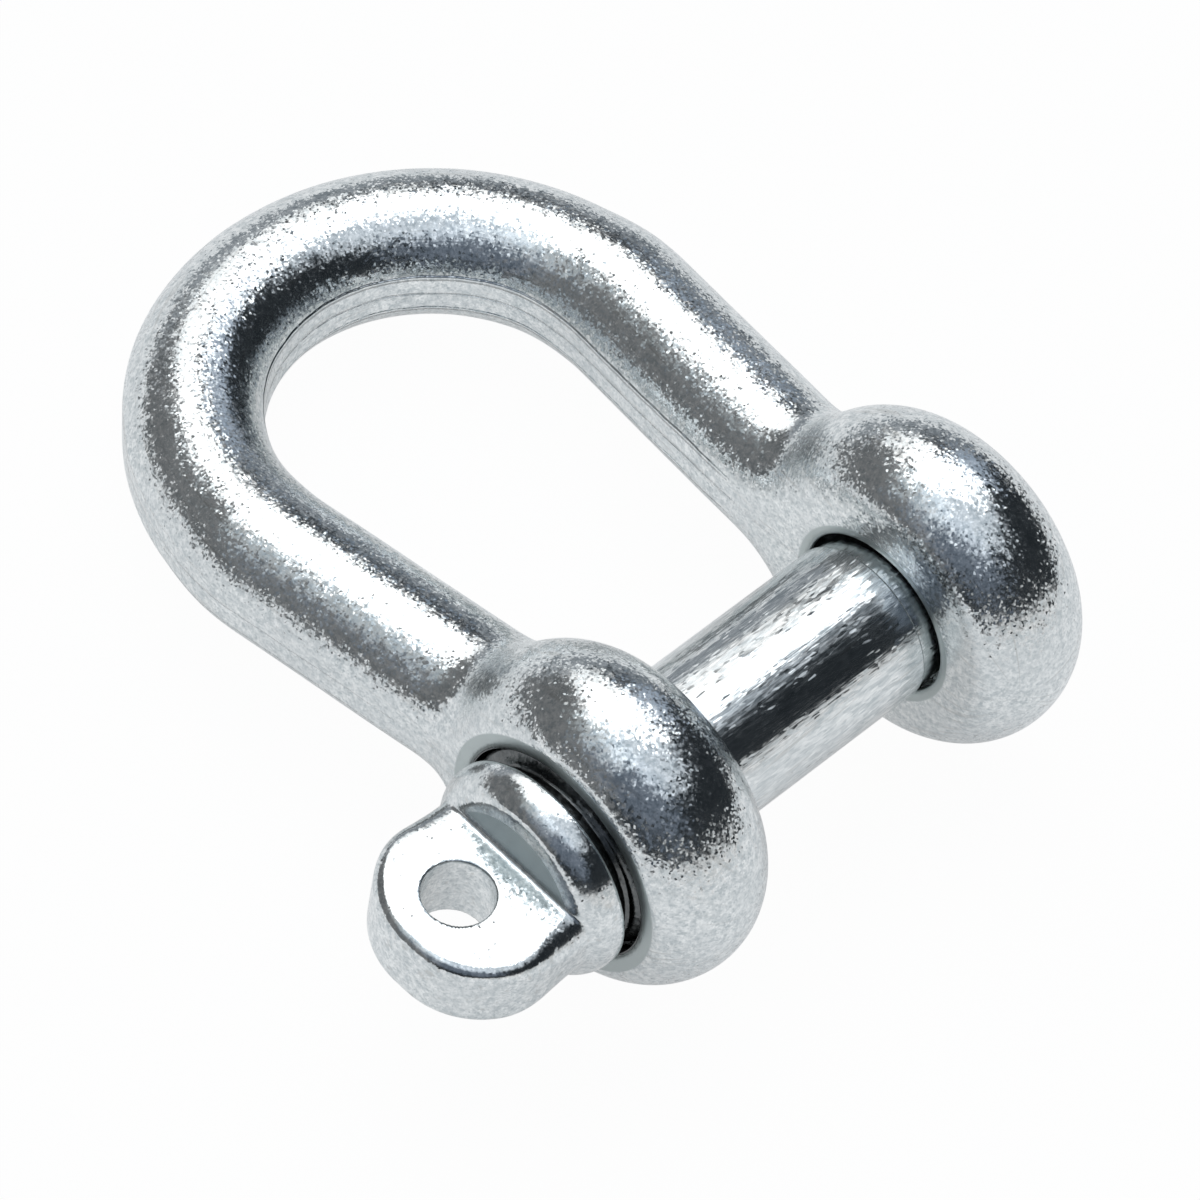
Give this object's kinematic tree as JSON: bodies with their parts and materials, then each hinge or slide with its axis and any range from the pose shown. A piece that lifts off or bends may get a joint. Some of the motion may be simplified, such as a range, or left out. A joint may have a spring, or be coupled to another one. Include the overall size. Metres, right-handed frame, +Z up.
{
  "type": "chain joining shackle",
  "caption": "Forged D-shaped bow with domed eyes, closed by a screw pin with a drilled flat tab; joins chain, wire or rope ends.",
  "frame": {"origin": "on the pin's axis, midway between the inner faces of the eyes", "axes": "+Y runs along the pin from its tab to its plain end, +X points away from the crown, +Z is up; the shackle rests on both eyes and the crown"},
  "size_m": [0.0989, 0.0845, 0.0374],
  "materials": {
    "plated_bow": "bright zinc plate over a slightly pitted forging",
    "plated_pin": "bright zinc plate over turned and forged steel"
  },
  "bodies": {
    "bow_body": {"bow": "plated_bow"},
    "pin_body": {"screw_pin": "plated_pin"}
  },
  "joints": [
    {"name": "pin_draw", "type": "slide", "parent": "bow_body", "child": "pin_body", "axis": [0, 1, 0], "range_m": [-0.08, 0.001]}
  ]
}
